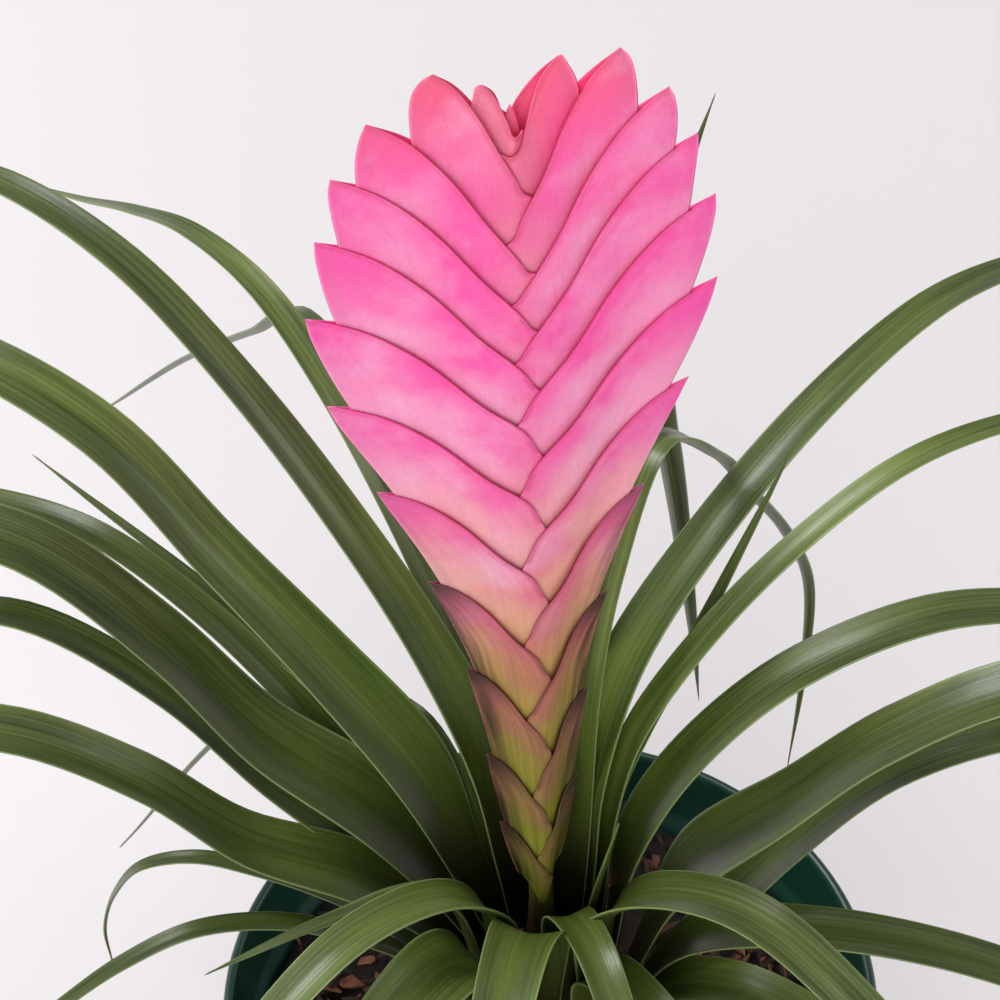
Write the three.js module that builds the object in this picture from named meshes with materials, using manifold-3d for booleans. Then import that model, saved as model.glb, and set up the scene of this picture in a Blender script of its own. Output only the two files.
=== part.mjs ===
// Potted bromeliad: a rosette of arching strap leaves round one flat, two-ranked flower spike,
// rooted in bark mix in a round nursery pot. Millimetres, +Z up, origin under the pot.
import * as THREE from "three";
import Module from "manifold-3d";

const wasm = await Module();
wasm.setup();

// Pot
const POT_HEIGHT = 95;
const RIM_RADIUS = 55;
const FOOT_RADIUS = 38.5;
const WALL = 1.6;
const FLOOR = 2.4;
const BAND_HEIGHT = 13;
const BAND_STEP = 2.2;
const DRAIN_HOLES = 8;
const DRAIN_RADIUS = 4;
const DRAIN_CIRCLE = 28;
const POT_SEGMENTS = 48;

// Potting mix
const MIX_TOP = 83;
const MIX_GAP = 0.4;
const MIX_RINGS = 6;
const MIX_SEGMENTS = 24;

// Short trunk and the flower stalk above it
const TRUNK_RADIUS = 4.6;
const TRUNK_FOOT = 66;
const AXIS_X = -1;
const AXIS_LEAN = -0.0095;
const LEAN_FROM = 120;

// Flower spike: bract 0 is the lowest; even bracts go left and odd bracts go right. The last is a bud.
const BRACTS = 24;
const SPIKE_TURN = 14;
const REACH = [[-5, 4.6], [0, 6.2], [4, 10], [6, 14.8], [8, 21.2], [10, 27], [12, 28.7], [14, 26.5],
  [16, 23.7], [18, 18.5], [19, 14.9], [20, 9.5], [21, 6.2], [22, 2.8], [23, 1.8]];
const SEAT = [[-5, 118], [0, 136], [4, 170], [8, 206.2], [12, 236.6], [16, 259], [18, 268.8],
  [20, 282.8], [21, 287.2], [22, 290], [23, 291]];
const RISE = [[-5, 8], [0, 9.5], [4, 14.5], [8, 20.8], [12, 26.6], [14, 28.2], [16, 27.8], [18, 26],
  [19, 23.3], [20, 18], [21, 12.2], [22, 7], [23, 3]];
const DEPTH = [[-5, 5], [0, 4.9], [4, 4.8], [8, 5], [12, 5.2], [16, 4.6], [20, 3.4], [23, 2.4]];
const TUCK = [[-3, 0.13], [2, 0.11], [7, 0.09], [10, 0.085], [14, 0.085], [18, 0.11], [21, 0.15],
  [23, 0.17]];
const SIDE_TUCK = [[0, 0.12], [8, 0.1], [12, 0.1], [14, 0.125], [16, 0.1], [18, 0.12], [19, 0.18],
  [20, 0.36], [21, 0.5], [22, 1.1], [23, 1.5]];
const BUD = { foot: 281, length: 12.5, shift: 0.2, halfWidth: 1.4, halfDepth: 0.6 };
const BELLY = 0.1;
const PAST_CENTRE = 2;
const INSET = 0.5;

// Leaves: heading in degrees from +X, tier on the trunk, widest width, and the points the midrib
// passes through as [reach from the axis, height]. The last point is the leaf tip.
const LEAVES = [
  { heading: 140, tier: 0, width: 7.5, midrib: [[18, 162], [92, 222], [200, 165]] },
  { heading: 125, tier: 1, width: 6.5, midrib: [[22, 162], [76, 202], [150, 170]] },
  { heading: 116, tier: 2, width: 4.5, midrib: [[26, 154], [70, 187], [118, 146], [207, 45]] },
  { heading: 152, tier: 2, width: 11, midrib: [[26, 146], [48, 168], [92, 204], [235, 150]] },
  { heading: 142, tier: 4, width: 4, midrib: [[24, 131], [60, 152], [105, 163]] },
  { heading: 147, tier: 5, width: 5.5, midrib: [[30, 127], [87, 164], [215, 90]] },
  { heading: 163, tier: 3, width: 12, midrib: [[25, 131], [46, 147], [87, 185], [240, 140]] },
  { heading: 164, tier: 6, width: 6.5, midrib: [[25, 119], [48, 142], [82, 170], [225, 95]] },
  { heading: 178, tier: 4, width: 10, midrib: [[24, 123], [48, 138], [82, 167], [230, 130]] },
  { heading: 133, tier: 3, width: 3.5, midrib: [[19, 131], [32, 144], [72, 107], [123, 20]] },
  { heading: 171, tier: 7, width: 4, midrib: [[30, 115], [62, 125], [74, 109], [75, 92]] },
  { heading: 192, tier: 6, width: 4, midrib: [[22, 112], [55, 132], [110, 95]] },
  { heading: 205, tier: 4, width: 4.2, midrib: [[20, 136], [38, 140], [59, 140]] },
  { heading: 221, tier: 3, width: 7, midrib: [[16, 137], [45, 150], [150, 60]] },
  { heading: 229, tier: 7, width: 7, midrib: [[18, 113], [42, 128], [135, 20]] },
  { heading: 237, tier: 5, width: 12, midrib: [[22, 131], [46, 141], [165, 40]] },
  { heading: 258.5, tier: 4, width: 9, midrib: [[15, 133], [40, 145], [150, 30]] },
  { heading: 287, tier: 3, width: 5.5, midrib: [[10, 130], [28, 137], [125, 25]] },
  { heading: 303, tier: 6, width: 7, midrib: [[16, 119], [40, 120], [130, 15]] },
  { heading: 318, tier: 4, width: 8.5, midrib: [[14, 131], [45, 154], [165, 60]] },
  { heading: 326, tier: 7, width: 8, midrib: [[21, 112], [48, 125], [150, 20]] },
  { heading: 344, tier: 6, width: 7.5, midrib: [[25, 120], [74, 128], [200, 50]] },
  { heading: 42, tier: 1, width: 7.5, midrib: [[16, 162], [56, 190], [95, 194], [205, 130]] },
  { heading: 26, tier: 2, width: 5, midrib: [[18, 158], [56, 191], [85, 192], [165, 145]] },
  { heading: 35, tier: 3, width: 4, midrib: [[15, 141], [29, 165], [48, 198]] },
  { heading: 12, tier: 4, width: 8.5, midrib: [[16, 136], [30, 159], [58, 175], [200, 120]] },
  { heading: 357, tier: 5, width: 12, midrib: [[25, 132], [44, 151], [72, 176], [220, 115]] },
  { heading: 2, tier: 7, width: 7.5, midrib: [[28, 114], [72, 156], [205, 90]] },
  { heading: 53, tier: 0, width: 5, midrib: [[14, 174], [30, 203], [62, 160], [79, 122], [75, 76]] },
  { heading: 66, tier: 2, width: 6.5, midrib: [[22, 176], [39, 205], [51, 184], [66, 124], [72, 90]] },
  { heading: 72, tier: 3, width: 4.5, midrib: [[22, 150], [70, 203], [104, 207]] },
  { heading: 342, tier: 0, width: 3, midrib: [[8.5, 128], [12, 147]] },
  { heading: 96, tier: 4, width: 8, midrib: [[23, 144], [70, 182], [180, 115]] },
];
const LEAF_STATIONS = 11;
const LEAF_THICKNESS = 1;
const LEAF_BREADTH = 1.1;
const TIER_TOP = 112;
const TIER_DROP = 3.5;
const TIER_RADIUS = 6.2;
const TIER_SPREAD = 1.1;

const radians = (degrees) => (degrees * Math.PI) / 180;

// Smooth interpolation through [place, value] knots, held level past both ends.
function smooth(knots, at) {
  const last = knots.length - 1;
  if (at <= knots[0][0]) return knots[0][1];
  if (at >= knots[last][0]) return knots[last][1];
  const k = knots.findIndex((knot) => knot[0] > at) - 1;
  const slope = (a, b) => (knots[b][1] - knots[a][1]) / (knots[b][0] - knots[a][0]);
  const tangent = (j) => slope(Math.max(j - 1, 0), Math.min(j + 1, last));
  const span = knots[k + 1][0] - knots[k][0];
  const t = (at - knots[k][0]) / span;
  const blend = t * t * (3 - 2 * t);
  const bulge = t * (1 - t) * span;
  return (
    knots[k][1] * (1 - blend) + knots[k + 1][1] * blend +
    bulge * ((1 - t) * tangent(k) - t * tangent(k + 1))
  );
}

// A closed body from rings of equal length. Each ring lists the outer face, then the inner face
// backwards, so that an end can be closed by a strip between the two. A tip point closes the last ring.
function loft(rings, tip) {
  const m = rings[0].length;
  const points = rings.flat();
  const faces = [];
  for (let k = 0; k + 1 < rings.length; k++)
    for (let j = 0; j < m; j++) {
      const a = k * m + j;
      const b = k * m + ((j + 1) % m);
      faces.push([a, b, b + m], [a, b + m, a + m]);
    }
  const strip = (start, turned) => {
    for (let j = 0; j + 1 < m / 2; j++) {
      const quad = [start + j, start + m - 1 - j, start + m - 2 - j, start + j + 1];
      if (turned) quad.reverse();
      faces.push([quad[0], quad[1], quad[2]], [quad[0], quad[2], quad[3]]);
    }
  };
  strip(0, false);
  const end = (rings.length - 1) * m;
  if (tip) {
    points.push(tip);
    for (let j = 0; j < m; j++) faces.push([end + j, end + ((j + 1) % m), points.length - 1]);
  } else strip(end, true);
  return solid(points, faces);
}

// Geometry from points and triangles, turned to face out.
function solid(points, faces) {
  let volume = 0;
  for (const [a, b, c] of faces) volume += points[a].dot(points[b].clone().cross(points[c]));
  const index = volume < 0 ? faces.map(([a, b, c]) => [a, c, b]) : faces;
  const geometry = new THREE.BufferGeometry().setFromPoints(points);
  geometry.setIndex(index.flat());
  geometry.computeVertexNormals();
  return geometry;
}

// A body turned round the Z axis from a closed profile of [radius, height] points.
function turned(profile, segments) {
  const points = [];
  const faces = [];
  const rows = profile.map(([radius, height]) => {
    const start = points.length;
    const count = radius === 0 ? 1 : segments;
    for (let s = 0; s < count; s++) {
      const angle = (s / segments) * 2 * Math.PI;
      points.push(new THREE.Vector3(radius * Math.cos(angle), radius * Math.sin(angle), height));
    }
    return { start, count };
  });
  const at = (row, s) => row.start + (row.count === 1 ? 0 : s % segments);
  rows.forEach((row, k) => {
    const next = rows[(k + 1) % rows.length];
    if (row.count === 1 && next.count === 1) return;
    for (let s = 0; s < segments; s++) {
      if (row.count > 1) faces.push([at(row, s), at(row, s + 1), at(next, s)]);
      if (next.count > 1) faces.push([at(row, s + 1), at(next, s + 1), at(next, s)]);
    }
  });
  return solid(points, faces);
}

function manifoldOf(geometry) {
  return new wasm.Manifold(
    new wasm.Mesh({
      numProp: 3,
      vertProperties: new Float32Array(geometry.getAttribute("position").array),
      triVerts: new Uint32Array(geometry.getIndex().array),
    }),
  );
}

function geometryOf(body) {
  const mesh = body.getMesh();
  const geometry = new THREE.BufferGeometry();
  const points = new Float32Array(mesh.vertProperties);
  const index = new Uint32Array(mesh.triVerts);
  geometry.setAttribute("position", new THREE.BufferAttribute(points, 3));
  geometry.setIndex(new THREE.BufferAttribute(index, 1));
  geometry.computeVertexNormals();
  return geometry;
}

// Radius of the pot's outer wall below the rim band.
function potWall(height) {
  const bandFoot = POT_HEIGHT - BAND_HEIGHT;
  return FOOT_RADIUS + ((RIM_RADIUS - 1.5 - BAND_STEP - FOOT_RADIUS) * height) / bandFoot;
}

// One moulded pot: tapered wall, stepped rim band, flat floor with drain holes near its edge.
function potGeometry() {
  const bandFoot = POT_HEIGHT - BAND_HEIGHT;
  const body = turned(
    [
      [0, 0],
      [FOOT_RADIUS - 1.5, 0],
      [FOOT_RADIUS, 1.5],
      [potWall(bandFoot), bandFoot],
      [RIM_RADIUS - 1.5, bandFoot + 0.8],
      [RIM_RADIUS - 0.4, POT_HEIGHT - 3],
      [RIM_RADIUS, POT_HEIGHT - 1.6],
      [RIM_RADIUS - 0.5, POT_HEIGHT - 0.3],
      [RIM_RADIUS - 1.3, POT_HEIGHT],
      [RIM_RADIUS - 2.1, POT_HEIGHT - 0.7],
      [RIM_RADIUS - 3.2, bandFoot + 1],
      [potWall(bandFoot) - WALL, bandFoot - 1.5],
      [potWall(FLOOR) - WALL, FLOOR + 1],
      [potWall(FLOOR) - WALL - 1, FLOOR],
      [0, FLOOR],
    ],
    POT_SEGMENTS,
  );
  let pot = manifoldOf(body);
  for (let k = 0; k < DRAIN_HOLES; k++) {
    const angle = ((k + 0.5) / DRAIN_HOLES) * 2 * Math.PI;
    const drill = wasm.Manifold.cylinder(FLOOR + 2, DRAIN_RADIUS, DRAIN_RADIUS, 14).translate([
      DRAIN_CIRCLE * Math.cos(angle),
      DRAIN_CIRCLE * Math.sin(angle),
      -1,
    ]);
    pot = pot.subtract(drill);
  }
  return geometryOf(pot);
}

// Bark mix: fills the pot to below the rim, uneven on top, with a well for the rooted trunk.
function mixGeometry() {
  const floorRadius = potWall(FLOOR) - WALL - 1.2 - MIX_GAP;
  const topRadius = potWall(MIX_TOP) - WALL - MIX_GAP - 0.3;
  const well = TRUNK_RADIUS + 0.5;
  const profile = [
    [0, FLOOR + MIX_GAP],
    [floorRadius, FLOOR + MIX_GAP],
    [topRadius, MIX_TOP - 2],
  ];
  for (let k = 0; k < MIX_RINGS; k++)
    profile.push([topRadius - 0.4 - ((topRadius - 0.4 - well) * k) / (MIX_RINGS - 1), MIX_TOP]);
  profile.push([well, TRUNK_FOOT - 0.6], [0, TRUNK_FOOT - 0.6]);
  const geometry = turned(profile, MIX_SEGMENTS);
  const position = geometry.getAttribute("position");
  for (let v = 0; v < position.count; v++) {
    if (position.getZ(v) < MIX_TOP - 1) continue;
    const angle = Math.atan2(position.getY(v), position.getX(v));
    const radius = Math.hypot(position.getX(v), position.getY(v));
    const lump = Math.sin(3 * angle + radius / 6) + Math.cos(5 * angle - radius / 4 + 1);
    position.setZ(v, MIX_TOP + 0.7 * lump - 0.02 * radius);
  }
  geometry.computeVertexNormals();
  return geometry;
}

const axisX = (height) => AXIS_X + AXIS_LEAN * Math.max(0, height - LEAN_FROM);

// Trunk, stalk and flat rachis in one: [height, half width, half depth].
function stemGeometry() {
  const stations = [
    [TRUNK_FOOT, 2.5, 2.5],
    [TRUNK_FOOT + 6, TRUNK_RADIUS, TRUNK_RADIUS],
    [100, TRUNK_RADIUS, TRUNK_RADIUS],
    [111, 3.6, 3.6],
    [120, 1.9, 1.5],
    [150, 1.7, 0.9],
    [200, 1.5, 0.8],
    [245, 1.1, 0.6],
    [266, 0.5, 0.3],
  ];
  const sides = 12;
  const turn = radians(SPIKE_TURN);
  const rings = stations.map(([height, halfWidth, halfDepth]) => {
    const shifted = Math.max(0, Math.min(1, (height - 100) / 20));
    const centre = height > LEAN_FROM ? axisX(height) : AXIS_X * shifted;
    const ring = [];
    for (let s = 0; s < sides; s++) {
      const angle = ((s + 0.5) / sides) * 2 * Math.PI;
      const wide = halfWidth * Math.cos(angle);
      const deep = halfDepth * Math.sin(angle);
      ring.push(
        new THREE.Vector3(
          centre + wide * Math.cos(turn) - deep * Math.sin(turn),
          wide * Math.sin(turn) + deep * Math.cos(turn),
          height,
        ),
      );
    }
    return ring;
  });
  return loft(rings, new THREE.Vector3(axisX(270), 0, 270));
}

// How far the keel of a bract has tucked in, as a share of the reach: `below` is the number of
// bracts counted down from its own free margin and `across` runs from 0 on the axis to 1 at the side.
function tuckedIn(number, below, across) {
  const rate = smooth(TUCK, number - below);
  const atSide = 1 - Math.exp((-smooth(SIDE_TUCK, number) * below ** 2) / (below + 0.5));
  const atAxis = 1.8 * rate * below;
  return across * atSide + (1 - across) * atAxis + 0.07 * Math.max(0, below - 3.3) ** 2;
}

// Share of the way out to the side, rounded off where the spike's face crosses the axis.
function rounded(across) {
  const round = 0.5;
  return (Math.hypot(across, round) - round) / (Math.hypot(1, round) - round);
}

// Height above the axis line of a margin, as a share of its rise.
function marginRise(across) {
  const round = 0.06;
  const flare = (Math.hypot(across, round) - round) / (Math.hypot(1, round) - round);
  return 1 - 0.4 * (1 - flare) - 0.6 * (1 - flare) ** 2.2;
}

// How much of the reach the inner face loses to the thickness of the bract.
const insetShare = (inset, reach) => inset * Math.min(INSET / reach, 0.06);

// A point on the outer face of a bract. Side is -1 for left and 1 for right, face is -1 for front
// and 1 for back, inset is how far under the outer face the point lies.
function bractPoint(number, below, across, side, face, inset) {
  const level = number - below;
  const reach = smooth(REACH, level);
  const out = Math.abs(across);
  const height = smooth(SEAT, level) + smooth(RISE, level) * marginRise(out);
  const full = smooth(DEPTH, level);
  const inside = Math.max(0, 1 - rounded(out) - tuckedIn(number, below, out) - insetShare(inset, reach));
  const atAxis = 0.75 * inside + 0.25 * (1 - Math.exp(-10 * inside));
  const atSide = 0.95 * inside ** 2 + 0.05 * (1 - Math.exp(-12 * inside));
  const sideways = Math.min(1, out / 0.45) ** 2;
  const swell = atAxis + (atSide - atAxis) * sideways;
  const opened = 1 - (1 - Math.min(1, below)) ** 2;
  const belly = BELLY * (1 - 0.8 * sideways) * opened * Math.min(1, 2 * out, 4 * inside) ** 2;
  const lost = inset * Math.min(0.035, 0.4 * (swell + belly));
  const half = full * (swell + belly - lost);
  const along = side * across * reach;
  const deep = face * half;
  const turn = radians(SPIKE_TURN);
  return new THREE.Vector3(
    axisX(height) + along * Math.cos(turn) - deep * Math.sin(turn),
    along * Math.sin(turn) + deep * Math.cos(turn),
    height,
  );
}

// Where the keel lies at a given count below the free margin, on the outer or the inset face.
function keelAcross(number, below, inset) {
  const lost = insetShare(inset, smooth(REACH, number - below));
  let low = 0;
  let high = 1;
  for (let k = 0; k < 40; k++) {
    const across = (low + high) / 2;
    if (1 - rounded(across) > tuckedIn(number, below, across) + lost) low = across;
    else high = across;
  }
  return Math.max(0.1 - 0.04 * inset, low);
}

// The free edge of a bract, from its foot (t = 0) up past the axis and out along the margin to the
// tip (t = 1): [count below the margin, share of the reach, negative beyond the axis].
function freeEdge(number, length, t) {
  const turnAt = 0.42;
  const pastCorner = 0.56;
  const past = Math.min(0.2, PAST_CENTRE / smooth(REACH, number - 1));
  if (t <= turnAt) {
    const up = t / turnAt;
    return [length + (1 - length) * up, -past * (0.15 + 0.85 * up ** 2)];
  }
  if (t <= pastCorner) {
    const down = (pastCorner - t) / (pastCorner - turnAt);
    return [down, -past * down];
  }
  return [0, (t - pastCorner) / (1 - pastCorner)];
}

// One boat-shaped bract: two half blades folded on the keel, clasping the axis at its foot.
function bractGeometry(number) {
  const side = number % 2 === 0 ? -1 : 1;
  const length = Math.min(4.5, 3 + number * 0.16, 2 + (BRACTS - 1 - number) * 0.7);
  const stations = [0, 0.12, 0.23, 0.33, 0.42, 0.49, 0.56, 0.66, 0.77, 0.89];
  const rings = stations.map((t) => {
    const keelBelow = length * (1 - t) ** 1.15;
    const [edgeBelow, edge] = freeEdge(number, length, t);
    const middle = Math.max(edge, 0.02);
    const blade = (face, inset) => {
      const keel = keelAcross(number, keelBelow, inset);
      const columns = [0, 0.06, 0.16, 0.36, 0.62, 0.88].map((share) => [share, share]);
      if (edge < 0) columns[columns.length - 1][1] = 1;
      const points = columns.map(([share, reached]) =>
        bractPoint(
          number,
          keelBelow + (edgeBelow - keelBelow) * share,
          keel + (middle - keel) * reached,
          side, face, inset,
        ),
      );
      return [...points, bractPoint(number, edgeBelow, edge, side, face, inset)];
    };
    return [
      ...blade(-1, 0).reverse(), ...blade(1, 0).slice(1),
      ...blade(1, 1).reverse(), ...blade(-1, 1).slice(1),
    ];
  });
  return loft(rings, bractPoint(number, 0, 1, side, 1, 0));
}

// The last, still furled bract: a flat pointed bud between the two above it.
function budGeometry() {
  const sides = 12;
  const turn = radians(SPIKE_TURN);
  const rings = [];
  for (let k = 0; k < 6; k++) {
    const s = k / 6;
    const full = Math.sin(Math.PI * (0.16 + 0.84 * s)) ** 0.8;
    const height = BUD.foot + BUD.length * s;
    const ring = [];
    for (let j = 0; j < sides; j++) {
      const angle = ((j + 0.5) / sides) * 2 * Math.PI;
      const wide = BUD.shift + BUD.halfWidth * full * Math.cos(angle);
      const deep = BUD.halfDepth * full * Math.sin(angle);
      ring.push(
        new THREE.Vector3(
          axisX(height) + wide * Math.cos(turn) - deep * Math.sin(turn),
          wide * Math.sin(turn) + deep * Math.cos(turn),
          height,
        ),
      );
    }
    rings.push(ring);
  }
  const top = BUD.foot + BUD.length;
  const along = new THREE.Vector3(Math.cos(turn), Math.sin(turn), 0).multiplyScalar(BUD.shift);
  return loft(rings, along.add(new THREE.Vector3(axisX(top), 0, top)));
}

// Leaf half width along its length: a narrow foot, widest early on, then a long even taper.
function leafTaper(s, widest, foot) {
  const opening = Math.min(1, s / 0.16);
  const start = foot + (1 - foot) * opening * opening * (3 - 2 * opening);
  return 0.5 * widest * start * Math.max(0, 1 - s ** 1.7) ** 0.8;
}

// One strap leaf: a shallow channel swept along the midrib, thick at the middle, thin at the edges.
function leafGeometry({ heading, tier, width, midrib }) {
  const angle = radians(heading);
  const outward = new THREE.Vector3(Math.cos(angle), Math.sin(angle), 0);
  const sideways = new THREE.Vector3(-Math.sin(angle), Math.cos(angle), 0);
  const start = [TIER_RADIUS + TIER_SPREAD * tier, TIER_TOP - TIER_DROP * tier];
  const curve = new THREE.CatmullRomCurve3(
    [start, ...midrib].map(([reach, height]) => outward.clone().multiplyScalar(reach).setZ(height)),
    false,
    "centripetal",
  );
  curve.arcLengthDivisions = 400;
  const foot = Math.min(1, 4.6 / width);
  const rings = [];
  for (let k = 0; k < LEAF_STATIONS; k++) {
    const s = (k / LEAF_STATIONS) ** 1.15;
    const centre = curve.getPointAt(s);
    const up = sideways.clone().cross(curve.getTangentAt(s)).normalize().negate();
    const half = leafTaper(s, LEAF_BREADTH * width, foot);
    const dip = half * 0.36;
    const thick = LEAF_THICKNESS * (0.35 + (1.3 * half) / (LEAF_BREADTH * width));
    const place = (across, above) =>
      centre.clone().addScaledVector(sideways, across).addScaledVector(up, above);
    rings.push([
      place(-half, dip),
      place(0, thick * 0.5),
      place(half, dip),
      place(half, dip - thick * 0.45),
      place(0, -thick * 0.5),
      place(-half, dip - thick * 0.45),
    ]);
  }
  return loft(rings, curve.getPointAt(1));
}

const POT_GREEN = new THREE.MeshStandardMaterial({ color: 0x12372d, roughness: 0.42, metalness: 0 });
const BARK_BROWN = new THREE.MeshStandardMaterial({ color: 0x2b1610, roughness: 0.95, metalness: 0 });
const STEM_GREEN = new THREE.MeshStandardMaterial({ color: 0x8d9a3c, roughness: 0.55, metalness: 0 });
const LEAF_GREEN = new THREE.MeshStandardMaterial({ color: 0x46602b, roughness: 0.42, metalness: 0 });
const BRACT_PINK = new THREE.MeshStandardMaterial({ color: 0xf77db6, roughness: 0.55, metalness: 0 });

const plant = new THREE.Group();
plant.name = "potted_bromeliad";

function add(name, geometry, material) {
  const mesh = new THREE.Mesh(geometry, material.clone());
  mesh.name = name;
  plant.add(mesh);
}

const numbered = (number) => String(number + 1).padStart(2, "0");

add("pot", potGeometry(), POT_GREEN);
add("potting_mix", mixGeometry(), BARK_BROWN);
add("flower_stem", stemGeometry(), STEM_GREEN);
for (let k = 0; k + 1 < BRACTS; k++) add(`bract_${numbered(k)}`, bractGeometry(k), BRACT_PINK);
add(`bract_${numbered(BRACTS - 1)}`, budGeometry(), BRACT_PINK);
LEAVES.forEach((leaf, k) => add(`leaf_${numbered(k)}`, leafGeometry(leaf), LEAF_GREEN));

export default plant;
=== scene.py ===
"""Potted bromeliad: strap leaves round a flat pink flower spike, in bark mix in a nursery pot.

Each leaf and bract is drawn again as a fine smooth surface over the solid of the CAD model: the
rings of points that the solid was lofted from are read back from its mesh, splines are passed
through them, and the blade between them gets its channel, its thin margins and its grain.
"""
import math
import random

import bmesh
import bpy
import numpy as np
from mathutils import Euler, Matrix, Quaternion, Vector, noise


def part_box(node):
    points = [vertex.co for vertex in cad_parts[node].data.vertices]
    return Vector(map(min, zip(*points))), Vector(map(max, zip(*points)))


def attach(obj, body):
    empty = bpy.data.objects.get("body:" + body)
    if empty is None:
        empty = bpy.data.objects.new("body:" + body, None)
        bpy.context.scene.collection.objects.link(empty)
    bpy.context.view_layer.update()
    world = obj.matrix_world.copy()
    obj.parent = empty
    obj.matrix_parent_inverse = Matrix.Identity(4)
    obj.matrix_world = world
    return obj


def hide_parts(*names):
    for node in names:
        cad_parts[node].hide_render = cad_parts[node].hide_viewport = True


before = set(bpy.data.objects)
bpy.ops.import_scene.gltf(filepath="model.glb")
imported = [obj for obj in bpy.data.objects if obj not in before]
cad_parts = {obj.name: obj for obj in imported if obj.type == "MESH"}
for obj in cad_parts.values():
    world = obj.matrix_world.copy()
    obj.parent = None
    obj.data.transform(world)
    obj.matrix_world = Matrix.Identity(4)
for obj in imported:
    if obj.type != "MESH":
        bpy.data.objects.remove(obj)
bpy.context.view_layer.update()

MM = 0.001
UP = np.array([0.0, 0.0, 1.0])


# ---------------------------------------------------------------------------------- materials

def linear(colour):
    """An sRGB hex colour as linear red, green, blue and alpha."""
    shares = [int(colour[k:k + 2], 16) / 255 for k in (1, 3, 5)]
    return [s / 12.92 if s <= 0.04045 else ((s + 0.055) / 1.055) ** 2.4 for s in shares] + [1.0]


def put(tree, kind, settings=None, inputs=None):
    """Adds a shader node. Settings are its own properties, with stops for a colour ramp; inputs are
    values, or outputs of other nodes to link."""
    node = tree.nodes.new("ShaderNode" + kind)
    for name, value in (settings or {}).items():
        if name == "stops":
            while len(node.color_ramp.elements) < len(value):
                node.color_ramp.elements.new(1.0)
            for element, (place, colour) in zip(node.color_ramp.elements, value):
                element.position = place
                element.color = linear(colour) if isinstance(colour, str) else [colour] * 3 + [1.0]
        else:
            setattr(node, name, value)
    for name, value in (inputs or {}).items():
        if isinstance(value, bpy.types.NodeSocket):
            tree.links.new(value, node.inputs[name])
        else:
            node.inputs[name].default_value = value
    return node


def new_material(name, surface):
    """A material with one Principled shader, whose uniform values are in surface."""
    made = bpy.data.materials.new(name)
    made.use_nodes = True
    tree = made.node_tree
    shader = tree.nodes["Principled BSDF"]
    for socket, value in surface.items():
        shader.inputs[socket].default_value = value
    return made, tree, shader


MIX_A, MIX_B, MIX_OUT = 6, 7, 2


def mixed(tree, share, first, second):
    """The colour output of a mix of two colours, each a hex string or an output."""
    inputs = {0: share}
    for place, colour in ((MIX_A, first), (MIX_B, second)):
        inputs[place] = linear(colour) if isinstance(colour, str) else colour
    return put(tree, "Mix", {"data_type": "RGBA"}, inputs).outputs[MIX_OUT]


def ramp(tree, value, stops):
    """A colour ramp, with stops of a place and either a hex colour or a grey value."""
    return put(tree, "ValToRGB", {"stops": stops}, {0: value}).outputs[0]


def ranged(tree, value, first, last, start=0.0, end=1.0):
    """A straight change from first to last as a value goes from start to end."""
    return put(tree, "MapRange", {}, {
        "Value": value, "From Min": start, "From Max": end, "To Min": first, "To Max": last}).outputs[0]


def faded(tree, value, start, end, first, last):
    """A soft change from one value to another as a length, in metres, goes from start to end."""
    return put(tree, "MapRange", {"interpolation_type": "SMOOTHSTEP"}, {
        "Value": value, "From Min": start, "From Max": end, "To Min": first, "To Max": last}).outputs[0]


def combined(tree, operation, *values):
    """The result of a mathematical operation on numbers or outputs."""
    return put(tree, "Math", {"operation": operation}, dict(enumerate(values))).outputs[0]


def shaded(tree, colour, factor):
    """A colour, darkened or lightened by a factor."""
    return put(tree, "HueSaturation", {}, {"Value": factor, "Color": colour}).outputs[0]


def uv_map(tree, name):
    """The places that a named UV map gives."""
    return put(tree, "UVMap", {"uv_map": name}).outputs[0]


def map_parts(tree, name):
    """The two values of a UV map."""
    return put(tree, "SeparateXYZ", {}, {0: uv_map(tree, name)}).outputs[:2]


def object_place(tree):
    """The place of a point in its own object, in metres."""
    return put(tree, "TexCoord").outputs["Object"]


def grain(tree, where, scale, detail, rough=0.5, distortion=0.0):
    """Noise of a scale, or of a scale for each axis, which stretches it."""
    if isinstance(scale, tuple):
        where, scale = put(tree, "Mapping", {}, {0: where, "Scale": scale}).outputs[0], 1.0
    return put(tree, "TexNoise", {}, {"Vector": where, "Scale": scale, "Detail": detail,
                                      "Roughness": rough, "Distortion": distortion}).outputs[0]


def add_relief(tree, shader, *layers):
    """Bumps in the surface. Each layer is a strength, a depth in metres and a height output."""
    normal = {}
    for strength, depth, height in layers:
        normal["Normal"] = put(tree, "Bump", {}, {
            "Strength": strength, "Distance": depth, "Height": height, **normal}).outputs[0]
    tree.links.new(normal["Normal"], shader.inputs["Normal"])


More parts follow.
